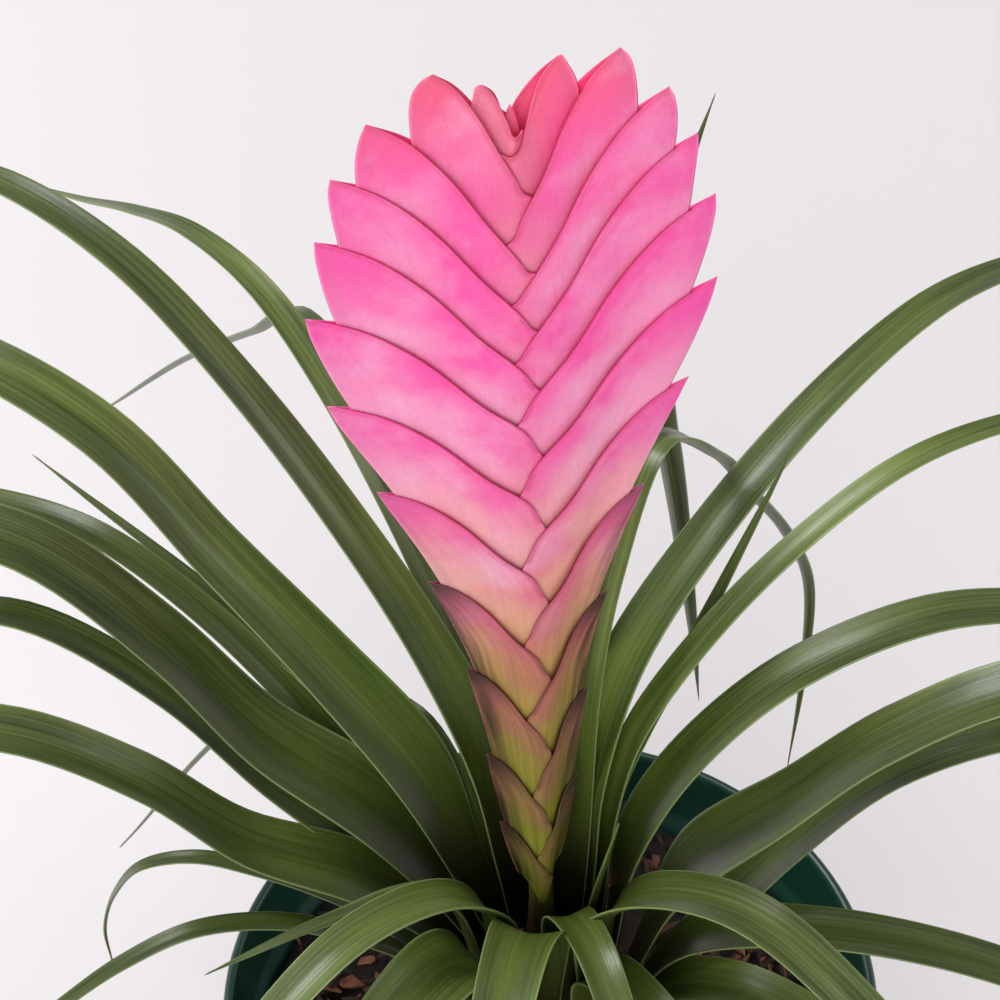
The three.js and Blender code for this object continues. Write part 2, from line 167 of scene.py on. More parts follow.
def leaf_cuticle():
    """Living bromeliad leaf, grown with ribs along it under a waxy skin. Pale streaks of painted sheen
    follow the ribs lengthwise; the foot is yellower, and deepest in the rosette it is darkened, partly its
    own brown and partly painted shade."""
    made, tree, shader = new_material("waxy_ribbed_leaf", {
        "IOR": 1.42, "Coat Weight": 0.15, "Coat Roughness": 0.25,
    })
    length = uv_map(tree, "real_size")
    along, across = map_parts(tree, "share")
    each_leaf = map_parts(tree, "tone")[0]
    # Ribs stand about 0.5 mm apart and run for centimetres.
    ribs = grain(tree, length, (22.0, 1900.0, 1.0), 4.0, 0.6)
    bands = grain(tree, length, (30.0, 330.0, 1.0), 3.0)
    scales = grain(tree, length, (900.0, 5000.0, 1.0), 2.0)
    green = ramp(tree, bands, [(0.22, "#27360c"), (0.45, "#3e4e18"), (0.62, "#536224"), (0.85, "#717f3c")])
    # The pale streaks mixed in along the ribs are painted sheen.
    streak = ramp(tree, ribs, [(0.42, 0.0), (0.72, 1.0)])
    sheen_streaked = mixed(tree, combined(tree, "MULTIPLY", streak, 0.35), green, "#8b956a")
    # The foot is yellow-green where it leaves the rosette; where leaves clasp, deep in the rosette, it is
    # darkened to near black-brown, partly its own brown and partly painted shade.
    yellowed = mixed(tree, ramp(tree, along, [(0.0, 0.8), (0.16, 0.4), (0.34, 0.0)]), sheen_streaked, "#5c7322")
    clasp_brown_and_shade = mixed(tree, ramp(tree, along, [(0.04, 0.95), (0.19, 0.0)]), yellowed, "#1d160b")
    aged = shaded(tree, clasp_brown_and_shade, ranged(tree, each_leaf, 0.62, 0.98))
    margin = ramp(tree, combined(tree, "ABSOLUTE", across), [(0.93, 0.0), (0.99, 0.5)])
    tree.links.new(mixed(tree, margin, aged, "#8b9c66"), shader.inputs["Base Color"])
    tree.links.new(ranged(tree, scales, 0.28, 0.46), shader.inputs["Roughness"])
    add_relief(tree, shader, (0.5, 0.0002, ribs), (0.25, 0.00008, scales))
    return made


def bract_tissue():
    """Fleshy bract, grown smooth and dusted with mealy scales. Deep pink under the free margin
    fades to pale pink and peach lower down, and to salmon at the axis; the oldest bracts, at the
    bottom, have turned mauve and olive and have dried dark brown at the tip and along the keel."""
    made, tree, shader = new_material("mealy_pink_bract", {
        "Roughness": 0.5, "IOR": 1.4, "Subsurface Weight": 0.25, "Subsurface Scale": 0.002,
        "Subsurface Radius": (1.0, 0.3, 0.45),
    })
    from_margin, from_axis = map_parts(tree, "margin_axis")
    from_tip, height = map_parts(tree, "tip_height")
    from_keel, order = map_parts(tree, "keel_age")
    here = object_place(tree)
    # Veins are about 0.8 mm apart; the mealy scales are drawn at 0.35 mm.
    veins = grain(tree, uv_map(tree, "real_size"), (50.0, 1100.0, 1.0), 3.0)
    mealy = grain(tree, here, 2800.0, 2.0, 0.7)
    cloud = grain(tree, here, 110.0, 3.0)
    wavered = combined(tree, "ADD", from_margin, ranged(tree, cloud, -0.003, 0.003, 0.3, 0.7))
    # Colours by height up the spike: of the band under the margin, of the rest, and at the axis.
    deep = ramp(tree, height, [
        (0.0, "#8f8038"), (0.1, "#8f6c48"), (0.25, "#a3645a"), (0.36, "#c06868"), (0.45, "#e0668a"),
        (0.56, "#f05c9e"), (0.72, "#fb4ea2"), (0.9, "#ff58a4"), (1.0, "#f85e7c")])
    pale = ramp(tree, height, [
        (0.0, "#868a28"), (0.2, "#8f8434"), (0.32, "#ad8a4a"), (0.42, "#e09c80"), (0.52, "#f59fa4"),
        (0.62, "#fb96bc"), (0.78, "#ff88b8"), (0.92, "#ff74a6"), (1.0, "#fa8088")])
    salmon = ramp(tree, height, [
        (0.0, "#93a02c"), (0.24, "#a09a3c"), (0.42, "#c79a62"), (0.6, "#e39286"), (1.0, "#e0747c")])
    banded = mixed(tree, faded(tree, wavered, 0.0, 0.0085, 0.95, 0.0), pale, deep)
    tipped = mixed(tree, faded(tree, from_tip, 0.003, 0.022, 0.85, 0.0), banded, deep)
    # Where the mealy scales lie thicker, the bract looks paler and a little lilac.
    bloom = ranged(tree, grain(tree, here, 75.0, 4.0, 0.6), 0.0, 0.45, 0.48, 0.72)
    upper = faded(tree, height, 0.3, 0.5, 0.0, 1.0)
    bloomed = mixed(tree, combined(tree, "MULTIPLY", bloom, upper), tipped, "#f3b4d2")
    inner = mixed(tree, faded(tree, from_axis, 0.0, 0.0065, 0.75, 0.0), bloomed, salmon)
    edge = ramp(tree, height, [
        (0.0, "#6c6030"), (0.2, "#6d4a40"), (0.36, "#8c4450"), (0.5, "#c04478"), (0.7, "#d63a82"),
        (1.0, "#d2486c")])
    lined = mixed(tree, faded(tree, from_margin, 0.0001, 0.0012, 0.7, 0.0), inner, edge)
    # Old bracts have dried at the tip and, in streaks, along the keel, and their veins stand out.
    old = faded(tree, order, 0.24, 0.38, 1.0, 0.0)
    streaks = ranged(tree, veins, 0.0, 1.0, 0.35, 0.65)
    at_tip = faded(tree, from_tip, 0.001, 0.013, 1.0, 0.0)
    at_keel = combined(tree, "MULTIPLY", faded(tree, from_keel, 0.0004, 0.0042, 1.0, 0.0),
                       ranged(tree, streaks, 0.5, 1.0))
    dry = combined(tree, "MAXIMUM", at_tip, at_keel)
    dried = mixed(tree, combined(tree, "MULTIPLY", old, dry), lined, "#3a2b22")
    vein_depth = combined(tree, "MULTIPLY", ranged(tree, old, 0.05, 0.3), -1.0)
    vein = combined(tree, "MULTIPLY_ADD", streaks, vein_depth, 1.02)
    speck = ranged(tree, mealy, 0.93, 1.06, 0.3, 0.72)
    grained = shaded(tree, dried, combined(tree, "MULTIPLY", vein, speck))
    tree.links.new(grained, shader.inputs["Base Color"])
    add_relief(tree, shader, (0.15, 0.0002, veins), (0.2, 0.0001, mealy))
    return made


def stalk_skin():
    """Flower stalk, grown round and smooth: green under the bracts, and darkened to near black-brown lower
    down, where it stands deep in the rosette; this dark is painted shade."""
    made, tree, shader = new_material("green_flower_stalk", {"Roughness": 0.5, "IOR": 1.42})
    here = object_place(tree)
    streaks = grain(tree, here, (900.0, 900.0, 40.0), 3.0)
    green = ramp(tree, streaks, [(0.3, "#5f6a26"), (0.7, "#8f9240")])
    upward = put(tree, "SeparateXYZ", {}, {0: here}).outputs[2]
    # Low down, deep in the rosette, the stalk is darkened with painted shade.
    painted_crown_shade = mixed(tree, faded(tree, upward, 0.114, 0.14, 1.0, 0.0), green, "#2a1c12")
    tree.links.new(painted_crown_shade, shader.inputs["Base Color"])
    return made


def moulded_pot():
    """Injection-moulded polypropylene in nursery green: an even satin skin with the faint grain of
    the mould, dulled by a little lime and dust from watering."""
    made, tree, shader = new_material("moulded_green_polypropylene", {"IOR": 1.49})
    here = object_place(tree)
    dust = grain(tree, here, 55.0, 6.0, 0.65)
    film = ramp(tree, dust, [(0.5, 0.0), (0.8, 0.3)])
    tree.links.new(mixed(tree, film, "#12382c", "#45604f"), shader.inputs["Base Color"])
    tree.links.new(ranged(tree, dust, 0.24, 0.5), shader.inputs["Roughness"])
    add_relief(tree, shader, (0.12, 0.0001, grain(tree, here, 1600.0, 2.0)))
    return made


def torn_bark(name, stops, rough):
    """Shredded bark, torn along its fibres and damp: each chip has its own brown, streaked."""
    made, tree, shader = new_material(name, {"Roughness": rough, "IOR": 1.45})
    each_chip = map_parts(tree, "tone")[0]
    fibre = grain(tree, object_place(tree), 420.0, 5.0, 0.7, distortion=0.6)
    streak = combined(tree, "MULTIPLY_ADD", fibre, 0.45, -0.22)
    brown = ramp(tree, combined(tree, "ADD", each_chip, streak), stops)
    tree.links.new(brown, shader.inputs["Base Color"])
    add_relief(tree, shader, (0.8, 0.0006, fibre))
    return made


def studio_floor():
    """Matt white studio sweep, faintly uneven so that it is not one flat tone."""
    made, tree, shader = new_material("matt_white_sweep", {"Roughness": 0.9, "Specular IOR Level": 0.1})
    tone = grain(tree, object_place(tree), 3.0, 1.0)
    white = ramp(tree, tone, [(0.3, "#d0ccce"), (0.7, "#d3cfd1")])
    tree.links.new(white, shader.inputs["Base Color"])
    return made


# ------------------------------------------------------------------------------ reading solids

# Vertices of the CAD mesh nearer than this, in metres, are one.
WELD = 4e-6
# The least share of a ring's points that have to be linked to the ones they are matched with.
LEAST_LINKED = 0.8
# The foot of a leaf is near the axis and near this height, which counts less.
CROWN_HEIGHT = 0.1
CLIMB_WEIGHT = 0.2


def ring_order(members, above):
    """A ring's vertices in order round it, along the edges whose faces lead to the ring above."""
    inside = set(members)
    ahead = {v: [] for v in members}
    for v in members:
        for edge in v.link_edges:
            other = edge.other_vert(v)
            if other in inside and any(above.intersection(face.verts) for face in edge.link_faces):
                ahead[v].append(other)
    ring = [members[0]]
    seen = {members[0]}
    while len(ring) < len(members):
        ring.append(next(w for w in ahead[ring[-1]] if w not in seen))
        seen.add(ring[-1])
    return ring


def in_step(ring, above, near):
    """The ring, started and turned so that each vertex lies under its own one in the ring above."""
    count = len(ring)
    here = np.array([v.co[:] for v in ring])
    there = np.array([v.co[:] for v in above])
    apart = np.linalg.norm(there[:, None] - here[None], axis=2) ** 2
    linked = np.array([[w in near[v] for w in ring] for v in above])
    straight = np.arange(count)
    best, chosen = None, None
    for way in (1, -1):
        for start in range(count):
            order = (way * straight + start) % count
            if linked[straight, order].sum() < LEAST_LINKED * count:
                continue
            cost = apart[straight, order].sum()
            if best is None or cost < best:
                best, chosen = cost, order
    return [ring[j] for j in chosen]


def welded(node):
    """The CAD mesh of a node, with the vertices that its faces share joined."""
    mesh = bmesh.new()
    mesh.from_mesh(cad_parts[node].data)
    bmesh.ops.remove_doubles(mesh, verts=mesh.verts, dist=WELD)
    return mesh


def lattice(node, fanned=True):
    """The rings of points that a CAD solid was lofted from, foot first, each ring in order round
    the section and in step with the others, and the tip point. In a fanned solid the tip is the
    vertex that all of the last ring meets at. Otherwise it is the one furthest, in steps, from the
    vertex nearest the crown of the plant."""
    mesh = welded(node)
    near = {v: [e.other_vert(v) for e in v.link_edges] for v in mesh.verts}

    def steps_from(start):
        steps, front = {start: 0}, [start]
        while front:
            reached = {w for v in front for w in near[v] if w not in steps}
            depth = steps[front[0]] + 1
            steps.update((w, depth) for w in reached)
            front = sorted(reached, key=lambda v: v.index)
        return steps

    if fanned:
        tip = max(mesh.verts, key=lambda v: len(near[v]))
    else:
        foot = min(mesh.verts, key=lambda v: (
            math.hypot(v.co.x, v.co.y) + CLIMB_WEIGHT * abs(v.co.z - CROWN_HEIGHT)))
        steps = steps_from(foot)
        tip = max(mesh.verts, key=lambda v: steps[v])
    steps = steps_from(tip)
    levels = [[] for _ in range(max(steps.values()) + 1)]
    for v in mesh.verts:
        levels[steps[v]].append(v)
    rings = [[tip]]
    for level in levels[1:]:
        ring = ring_order(level, set(rings[-1]))
        rings.append(ring if len(rings) == 1 else in_step(ring, rings[-1], near))
    rings = rings[1:]
    points = [np.array([v.co[:] for v in ring]) for ring in reversed(rings)]
    top = np.array(tip.co[:])
    mesh.free()
    return points, top


def spline(places, values, at):
    """Smooth curve through values at the given places, sampled at `at`, along the first axis."""
    places, values, at = np.asarray(places, float), np.asarray(values, float), np.asarray(at, float)
    column = (-1,) + (1,) * (values.ndim - 1)
    gaps = np.diff(places)
    slopes = np.diff(values, axis=0) / gaps.reshape(column)
    tangents = np.empty_like(values)
    tangents[0], tangents[-1] = slopes[0], slopes[-1]
    before, after = gaps[:-1].reshape(column), gaps[1:].reshape(column)
    tangents[1:-1] = (slopes[:-1] * after + slopes[1:] * before) / (before + after)
    k = np.clip(np.searchsorted(places, at, side="right") - 1, 0, len(gaps) - 1)
    gap = gaps[k].reshape(column)
    t = ((at - places[k]) / gaps[k]).reshape(column)
    return ((1 + 2 * t) * (1 - t) ** 2 * values[k] + t * (1 - t) ** 2 * gap * tangents[k]
            + t * t * (3 - 2 * t) * values[k + 1] - t * t * (1 - t) * gap * tangents[k + 1])


def run_of(points):
    """Distance along a row of points from its first."""
    return np.concatenate([[0.0], np.cumsum(np.linalg.norm(np.diff(points, axis=0), axis=1))])


def unit(vectors):
    """The same directions, each of length 1."""
    return vectors / np.maximum(np.linalg.norm(vectors, axis=-1, keepdims=True), 1e-12)


# ----------------------------------------------------------------------------- making pieces

def piece_from(name, vertices, faces, maps, material, replaced=(), smooth=True):
    """A mesh piece of the plant. Maps are named UV maps, given as one (u, v) for each vertex."""
    mesh = bpy.data.meshes.new(name)
    mesh.from_pydata([tuple(v) for v in vertices], [], faces)
    if smooth:
        mesh.polygons.foreach_set("use_smooth", [True] * len(mesh.polygons))
    corners = np.empty(len(mesh.loops), dtype=np.int32)
    mesh.loops.foreach_get("vertex_index", corners)
    for label, values in maps.items():
        layer = mesh.uv_layers.new(name=label)
        layer.data.foreach_set("uv", np.asarray(values, dtype=np.float32)[corners].ravel())
    mesh.materials.append(material)
    mesh.validate()
    piece = bpy.data.objects.new(name, mesh)
    bpy.context.scene.collection.objects.link(piece)
    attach(piece, "root")
    if replaced:
        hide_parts(*replaced)
    return piece


def skin_faces(rings, around):
    """Quads of a closed tube of rings, a strip across its foot, and a fan at the tip vertex."""
    faces = []
    for k in range(rings - 1):
        for j in range(around):
            a, b = k * around + j, k * around + (j + 1) % around
            faces.append((a, b, b + around, a + around))
    for j in range(around // 2 - 1):
        faces.append((j + 1, j, around - 1 - j, around - 2 - j))
    last = (rings - 1) * around
    for j in range(around):
        faces.append((last + j, last + (j + 1) % around, last + around))
    return faces


def faces_out(vertices, faces):
    """The same faces, turned if they enclose a negative volume."""
    vertices = np.asarray(vertices)
    volume = 0.0
    for face in faces:
        a = vertices[face[0]]
        for k in range(1, len(face) - 1):
            volume += np.dot(a, np.cross(vertices[face[k]], vertices[face[k + 1]]))
    return faces if volume > 0 else [face[::-1] for face in faces]


LEAF_STATIONS = 84
LEAF_ACROSS = np.array([-1, -0.965, -0.9, -0.78, -0.6, -0.4, -0.2, 0, 0.2, 0.4, 0.6, 0.78, 0.9, 0.965, 1])
# Depth of the channel as a share of the half width, half the thickness in the middle of the blade
# and at its edge, and the least half width.
LEAF_CHANNEL = 0.4
LEAF_MIDDLE = 0.55 * MM
LEAF_EDGE = 0.13 * MM
LEAF_LEAST_HALF = 0.12 * MM
# How far a blade rolls, in degrees, and wanders sideways. One shorter than the full length, in
# metres, wanders and clasps less.
LEAF_ROLL = 16
LEAF_WANDER = 1.2 * MM
LEAF_FULL_LENGTH = 0.1
# Where along it the foot of a leaf clasps widest, over what share, and by how much.
SHEATH_AT, SHEATH_SPREAD, SHEATH_GAIN = 0.11, 0.12, 0.22
LEAF_SEED, BRACT_SEED = 1000, 2000


def make_leaf(node, number, material):
    """One strap leaf: a channelled blade with thin margins, swept along the CAD leaf's midline."""
    rings, tip = lattice(node, fanned=False)
    widest = max(rings, key=lambda ring: np.ptp(ring @ unit(ring[0] - ring.mean(0)).T))
    # Sideways is level, along the line between the two points furthest apart in the widest ring.
    spans = widest[:, None, :] - widest[None, :, :]
    far = np.unravel_index(np.argmax(np.linalg.norm(spans, axis=2)), spans.shape[:2])
    sideways = spans[far] * (1, 1, 0)
    sideways = sideways / np.linalg.norm(sideways)
    middles, halves = [], []
    for ring in rings:
        centre = ring.mean(0)
        offset = (ring - centre) @ sideways
        # The two points nearest the middle are on the upper and the lower face of the blade.
        valley = ring[np.argsort(np.abs(offset))[:2]]
        middles.append(valley.mean(0))
        halves.append(np.ptp(offset) / 2)
    middles, halves = np.array(middles + [tip]), np.array(halves + [0.0])
    run = run_of(middles)
    at = run[-1] * np.linspace(0, 1, LEAF_STATIONS + 1) ** 0.97
    centre = spline(run, middles, at)
    half = np.maximum(spline(run, halves, at), LEAF_LEAST_HALF)
    share = at / run[-1]
    tangent = unit(np.gradient(centre, at, axis=0))
    draw = random.Random(LEAF_SEED + number)
    # The blade rolls a little about its midline toward the tip, and wanders sideways.
    roll = math.radians(draw.uniform(-LEAF_ROLL, LEAF_ROLL)) * share ** 1.5
    full = min(1.0, run[-1] / LEAF_FULL_LENGTH)
    wander = draw.uniform(-LEAF_WANDER, LEAF_WANDER) * np.sin(math.pi * share) * full
    side = np.tile(sideways, (len(at), 1))
    above = unit(np.cross(tangent, side))
    if above[len(at) // 4, 2] < 0:
        side, above = -side, -above
    across = side * np.cos(roll)[:, None] + above * np.sin(roll)[:, None]
    above = above * np.cos(roll)[:, None] - side * np.sin(roll)[:, None]
    centre = centre + side * wander[:, None]
    fullness = np.minimum(1.0, half / halves.max())
    sheath = 1.02 + SHEATH_GAIN * np.exp(-((share - SHEATH_AT) / SHEATH_SPREAD) ** 2) * full
    vertices, real, shares = [], [], []
    v = LEAF_ACROSS
    for k in range(LEAF_STATIONS):
        dip = LEAF_CHANNEL * half[k] * np.abs(v) ** 1.7 * (0.6 + 0.4 * fullness[k])
        thick = (LEAF_EDGE + (LEAF_MIDDLE - LEAF_EDGE) * (1 - v ** 2) ** 0.6) * (0.3 + 0.7 * fullness[k])
        reach = half[k] * v * sheath[k]
        upper = centre[k] + across[k] * reach[:, None] + above[k] * (dip + thick)[:, None]
        lower = centre[k] + across[k] * reach[:, None] + above[k] * (dip - thick)[:, None]
        vertices.extend(upper)
        vertices.extend(lower[::-1])
        for row in (v, v[::-1]):
            real.extend((at[k], half[k] * w) for w in row)
            shares.extend((share[k], w) for w in row)
    vertices.append(centre[-1])
    real.append((at[-1], 0.0))
    shares.append((1.0, 0.0))
    faces = faces_out(vertices, skin_faces(LEAF_STATIONS, 2 * len(LEAF_ACROSS)))
    tone = [(draw.random(), draw.random())] * len(vertices)
    # Each leaf takes its grain from another part of the noise.
    real = np.asarray(real) + (draw.uniform(0, 5), draw.uniform(0, 5))
    return piece_from(node + "_blade", vertices, faces,
                      {"real_size": real, "share": shares, "tone": tone}, material,
                      [node])


# A CAD bract has rings of 26 points: 7 from the front edge to the keel, 6 on to the back edge, and
# the same again on the inner faces. The places below count its points from the keel to the edge.
BRACT_POINTS = 7
BRACT_ACROSS = np.array([0, 0.25, 0.6, 1, 1.5, 2, 2.5, 3, 3.35, 3.7, 4, 4.35, 4.7, 5, 5.35, 5.7, 5.9, 6])
BRACT_STATIONS = 46
# The upper share of a bract's length whose edges are its free margin.
FREE_MARGIN = 0.5
BUD_STATIONS = 18
# The bud has no bands of colour: all of it counts as this far from a margin, axis and keel.
BUD_FROM_MARGIN = 4 * MM


def through(points, at):
    """A smooth curve through points, sampled at counts of points from its start."""
    run = run_of(points) + 1e-9 * np.arange(len(points))
    return spline(run, points, np.interp(at, np.arange(len(points)), run))


def bract_sheets(grid):
    """The four faces of a bract, each as rows of points from the keel to the edge: front, back, back
    inside and front inside, from rings whose points go from the front edge to the keel and on."""
    keel, edge = BRACT_POINTS - 1, 2 * BRACT_POINTS - 2
    inner_keel = edge + BRACT_POINTS
    halves = [grid[:, keel::-1], grid[:, keel:edge + 1],
              grid[:, inner_keel:edge:-1], grid[:, inner_keel:]]
    # The stations lie a little closer together toward the foot and toward the tip.
    at = np.linspace(0, 1, BRACT_STATIONS + 1)
    at = (grid.shape[0] - 1) * (0.8 * at + 0.2 * (3 * at ** 2 - 2 * at ** 3))
    sheets = []
    for half in halves:
        columns = np.stack([through(half[:, j], at) for j in range(BRACT_POINTS)], axis=1)
        sheets.append(np.stack([through(row, BRACT_ACROSS) for row in columns[:-1]]))
    return sheets


def make_bract(node, number, axis, spike, material):
    """One boat-shaped bract: two half blades folded on the keel, read from the CAD bract."""
    rings, tip = lattice(node)
    around = rings[0].shape[0]
    last = rings[-1]
    out = np.hypot(last[:, 0] - axis(last[:, 2]), last[:, 1])
    keel = int(np.argmax(out))
    # The points go round so that the back of the bract, at +Y, follows the keel.
    step = 1 if last[(keel + 1) % around, 1] > last[(keel - 1) % around, 1] else -1
    order = [(keel + step * (j - BRACT_POINTS + 1)) % around for j in range(around)]
    grid = np.array([ring[order] for ring in rings] + [np.tile(tip, (around, 1))])
    front, back, back_in, front_in = bract_sheets(grid)
    closed = np.concatenate(
        [front[:, ::-1], back[:, 1:], back_in[:, ::-1], front_in[:, 1:]], axis=1)
    vertices = np.concatenate([closed.reshape(-1, 3), tip[None]])
    faces = faces_out(vertices, skin_faces(BRACT_STATIONS, closed.shape[1]))
    # The maps hold distances from the free margin, the axis, the tip and the keel, the height as
    # a share of the spike, the bract's place in the order of age, and real sizes for the veins.
    margin_from = int(BRACT_STATIONS * FREE_MARGIN)
    edges = np.concatenate([front[margin_from:, -1], back[margin_from:, -1]])
    under = np.linalg.norm(vertices[:, None, :] - edges[None], axis=2).min(1)
    from_axis = np.hypot(vertices[:, 0] - axis(vertices[:, 2]), vertices[:, 1])
    from_tip = np.linalg.norm(vertices - tip, axis=1)
    keel_line = np.concatenate([front[:, 0], tip[None]])
    from_keel = np.linalg.norm(vertices[:, None, :] - keel_line[None], axis=2).min(1)
    low, high = spike
    height = (vertices[:, 2] - low) / (high - low)
    keel_run = run_of(front[:, 0])
    widths = np.linalg.norm(np.diff(front, axis=1), axis=2).cumsum(1).mean(0)
    widths = np.concatenate([[0.0], widths])
    row = np.concatenate([-widths[::-1], widths[1:], widths[::-1], -widths[1:]])
    real = [(keel_run[k], w) for k in range(BRACT_STATIONS) for w in row] + [(keel_run[-1], 0.0)]
    draw = random.Random(BRACT_SEED + number)
    real = np.asarray(real) + (draw.uniform(0, 5), draw.uniform(0, 5))
    return piece_from(node + "_blade", vertices, faces, {
        "margin_axis": np.stack([under, from_axis], 1),
        "tip_height": np.stack([from_tip, height], 1),
        "keel_age": np.stack([from_keel, np.full(len(vertices), number / (len(bracts) - 1))], 1),
        "real_size": real}, material, [node])


def make_bud(node, spike, material):
    """The last, furled bract: a flat pointed bud, smoothed between the rings of the CAD bud."""
    rings, tip = lattice(node)
    around = len(rings[0])
    grid = np.array(rings + [np.tile(tip, (around, 1))])
    at = np.linspace(0, len(grid) - 1, BUD_STATIONS + 1)
    rows = np.stack([through(grid[:, j], at) for j in range(around)], axis=1)[:-1]
    closed = np.stack([through(np.vstack([row, row[:1]]), np.arange(0, around, 0.5)) for row in rows])
    vertices = np.concatenate([closed.reshape(-1, 3), tip[None]])
    faces = faces_out(vertices, skin_faces(BUD_STATIONS, closed.shape[1]))
    low, high = spike
    count = len(vertices)
    height = (vertices[:, 2] - low) / (high - low)
    flat = np.full(count, BUD_FROM_MARGIN)
    return piece_from(node + "_blade", vertices, faces, {
        "margin_axis": np.stack([flat, flat], 1),
        "tip_height": np.stack([np.linalg.norm(vertices - tip, axis=1), height], 1),
        "keel_age": np.stack([flat, np.ones(count)], 1),
        "real_size": vertices[:, [2, 0]]}, material, [node])


ON_SECTION = 1e-5


def chain_of(node):
    """The half section of a turned CAD solid at +X, as [radius, height] from its bottom centre."""
    mesh = welded(node)
    on_section = {v for v in mesh.verts if abs(v.co.y) < ON_SECTION and v.co.x > -ON_SECTION}
    here = min(on_section, key=lambda v: v.co.x + v.co.z)
    chain, seen = [], set()
    while here is not None:
        chain.append((here.co.x, here.co.z))
        seen.add(here)
        ahead = [e.other_vert(here) for e in here.link_edges]
        here = next((v for v in ahead if v in on_section and v not in seen), None)
    mesh.free()
    return np.array(chain)


def rounded_chain(chain, radius):
    """A section with its corners cut twice to a small radius."""
    for _ in range(2):
        cut = [chain[0]]
        for before, corner, after in zip(chain[:-2], chain[1:-1], chain[2:]):
            for end in (before, after):
                span = end - corner
                length = np.linalg.norm(span)
                cut.append(corner + span * min(0.3, radius / max(length, 1e-9)))
        cut.append(chain[-1])
        chain = np.array(cut)
        radius /= 2
    return chain


POT_AROUND = 128
POT_CORNER = 0.5 * MM
DRAIN_HOLES, DRAIN_RADIUS, DRAIN_CIRCLE = 8, 4 * MM, 28 * MM
DRILL_DEPTH = 20 * MM
SHARP_FROM = math.radians(35)


def turned_mesh(chain, around, shape=None):
    """Vertices and faces of a section turned round Z. Both ends of the section are on the axis."""
    vertices, rows = [], []
    for k, (radius, height) in enumerate(chain):
        if k in (0, len(chain) - 1):
            rows.append([len(vertices)] * around)
            vertices.append((0.0, 0.0, height))
            continue
        rows.append(list(range(len(vertices), len(vertices) + around)))
        for s in range(around):
            angle = 2 * math.pi * s / around
            point = np.array([radius * math.cos(angle), radius * math.sin(angle), height])
            vertices.append(tuple(shape(point) if shape else point))
    faces = []
    for low, high in zip(rows[:-1], rows[1:]):
        for s in range(around):
            t = (s + 1) % around
            face = [low[s], low[t], high[t], high[s]]
            faces.append(tuple(dict.fromkeys(face)))
    return vertices, faces


def make_pot(material):
    """The nursery pot, turned from its CAD section with softened corners, its drain holes cut."""
    chain = rounded_chain(chain_of("pot"), POT_CORNER)
    vertices, faces = turned_mesh(chain, POT_AROUND)
    faces = faces_out(vertices, faces)
    pot = piece_from("nursery_pot", vertices, faces, {}, material, ["pot"])
    drills = bmesh.new()
    for k in range(DRAIN_HOLES):
        angle = 2 * math.pi * (k + 0.5) / DRAIN_HOLES
        made = bmesh.ops.create_cone(drills, cap_ends=True, segments=32, radius1=DRAIN_RADIUS,
                                     radius2=DRAIN_RADIUS, depth=DRILL_DEPTH)
        bmesh.ops.translate(drills, verts=made["verts"], vec=(
            DRAIN_CIRCLE * math.cos(angle), DRAIN_CIRCLE * math.sin(angle), 0.0))
    cutter_mesh = bpy.data.meshes.new("drills")
    drills.to_mesh(cutter_mesh)
    drills.free()
    cutter = bpy.data.objects.new("drills", cutter_mesh)
    bpy.context.scene.collection.objects.link(cutter)
    cut = pot.modifiers.new("drain_holes", "BOOLEAN")
    cut.operation = "DIFFERENCE"
    cut.object = cutter
    cut.solver = "EXACT"
    bpy.context.view_layer.update()
    shown = pot.evaluated_get(bpy.context.evaluated_depsgraph_get())
    finished = bpy.data.meshes.new_from_object(shown)
    pot.modifiers.clear()
    pot.data = finished
    bpy.data.objects.remove(cutter)
    finished.set_sharp_from_angle(angle=SHARP_FROM)
    return pot


MIX_AROUND, MIX_RINGS = 160, 46
# The mix is heaped softly and crumbly on top: how fine each unevenness is, and how high.
HEAP, HEAP_HEIGHT = 60, 1.6 * MM
CRUMB, CRUMB_HEIGHT = 420, 1.1 * MM
CRUMB_DEPTH = 4 * MM


def make_mix(material):
    """The bed of bark mix: fine crumb, heaped unevenly, its top left rough by hand potting."""
    chain = chain_of("potting_mix")
    outline = chain[:3]
    top = chain[3:-2, 1].mean()
    radii = np.linspace(outline[2][0] - 0.6 * MM, chain[-2][0], MIX_RINGS)
    rows = [tuple(p) for p in outline] + [(r, top) for r in radii] + [tuple(chain[-2]), tuple(chain[-1])]

    def crumble(point):
        if point[2] < top - CRUMB_DEPTH:
            return point
        soft = noise.noise(Vector(point) * HEAP) * HEAP_HEIGHT
        crumb = noise.noise(Vector(point) * CRUMB) * CRUMB_HEIGHT
        return point + UP * (soft + crumb - 0.6 * MM)

    vertices, faces = turned_mesh(rows, MIX_AROUND, crumble)
    faces = faces_out(vertices, faces)
    tone = [(0.3, 0.3)] * len(vertices)
    return piece_from("mix_bed", vertices, faces, {"tone": tone}, material, ["potting_mix"])


# A chip is the hull of this many points; it leans by up to this many radians.
CHIP_POINTS = 11
CHIP_LEAN, CAUGHT_LEAN = 0.5, 0.4
# Width and thickness of a chip as shares of its length.
CHIP_WIDTHS, CHIP_THICKNESSES = (0.3, 0.7), (0.14, 0.34)
# Chips and fibres lie at least this far from the axis of the pot.
CHIP_CLEARANCE, FIBRE_CLEARANCE = 12 * MM, 14 * MM


